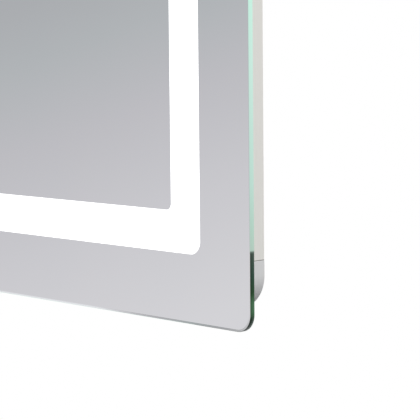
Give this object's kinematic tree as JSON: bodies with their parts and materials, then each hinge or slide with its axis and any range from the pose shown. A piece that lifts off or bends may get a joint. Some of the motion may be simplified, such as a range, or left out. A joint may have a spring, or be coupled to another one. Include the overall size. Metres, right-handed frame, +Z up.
{
  "type": "lighted bathroom mirror",
  "caption": "Rectangular wall mirror with a lit frosted band set in from the glass edge, on a slim aluminium frame with moulded corner pieces, hung by two keyholes.",
  "frame": {"origin": "centre of the back plate's outer face, which lies on the wall", "axes": "+X to the viewer's right, +Z up, +Y into the wall; the mirror faces -Y"},
  "size_m": [0.5, 0.026, 0.7],
  "materials": {
    "clear_glass": "4 mm float glass, green at its polished edge, sandblasted behind the lit band",
    "silver": "silvered coat with grey protective paint behind",
    "foam_tape": "closed-cell foam tape",
    "matt_aluminium": "extruded, satin anodised in a warm silver",
    "grey_moulding": "moulded ABS, fine spark texture, mid grey",
    "white_steel": "powder-coated sheet steel, fine texture",
    "zinc_steel": "zinc-plated steel",
    "mill_aluminium": "mill-finish extrusion",
    "opal_acrylic": "opal acrylic, lit from behind",
    "white_board": "white solder mask with soft yellow chips",
    "white_case": "moulded housing",
    "green_board": "circuit board",
    "natural_nylon": "natural nylon",
    "heating_foil": "laminated heating foil",
    "black_rubber": "soft rubber",
    "plain_brass": "plain brass",
    "sensor_black": "black moulded barrel",
    "smoked_window": "dark infrared window",
    "lead_sheath": "white sheathed lead",
    "earth_sheath": "green and yellow earth lead",
    "natural_clips": "nylon saddle, self-adhesive"
  },
  "bodies": {
    "root": {"back_plate": "white_steel", "cable_grommet": "black_rubber", "channel_tape_bottom": "foam_tape", "channel_tape_left": "foam_tape", "channel_tape_right": "foam_tape", "channel_tape_top": "foam_tape", "corner_bottom_left": "grey_moulding", "corner_bottom_right": "grey_moulding", "corner_top_left": "grey_moulding", "corner_top_right": "grey_moulding", "demister_lead": "lead_sheath", "demister_pad": "heating_foil", "driver_board": "green_board", "driver_case": "white_case", "driver_lid": "white_case", "driver_tape": "foam_tape", "earth_lead": "earth_sheath", "earth_nut": "plain_brass", "earth_stud": "zinc_steel", "earth_tag": "plain_brass", "glass_tape_bottom": "foam_tape", "glass_tape_left": "foam_tape", "glass_tape_right": "foam_tape", "glass_tape_top": "foam_tape", "junction_box": "white_case", "junction_lid": "white_case", "junction_tape": "foam_tape", "keyhole_cup_left": "zinc_steel", "keyhole_cup_right": "zinc_steel", "lead_clips": "natural_clips", "light_channel_bottom": "mill_aluminium", "light_channel_left": "mill_aluminium", "light_channel_right": "mill_aluminium", "light_channel_top": "mill_aluminium", "light_lead": "lead_sheath", "light_strip_bottom": "white_board", "light_strip_left": "white_board", "light_strip_right": "white_board", "light_strip_top": "white_board", "mains_lead": "lead_sheath", "mirror_glass": "clear_glass", "opal_cover_bottom": "opal_acrylic", "opal_cover_left": "opal_acrylic", "opal_cover_right": "opal_acrylic", "opal_cover_top": "opal_acrylic", "plate_screws": "zinc_steel", "rail_bottom": "matt_aluminium", "rail_left": "matt_aluminium", "rail_right": "matt_aluminium", "rail_top": "matt_aluminium", "sensor_barrel": "sensor_black", "sensor_lead": "lead_sheath", "sensor_lens": "smoked_window", "sensor_nut": "sensor_black", "silver_backing": "silver", "terminal_block": "natural_nylon", "terminal_screws": "zinc_steel"}
  },
  "joints": []
}
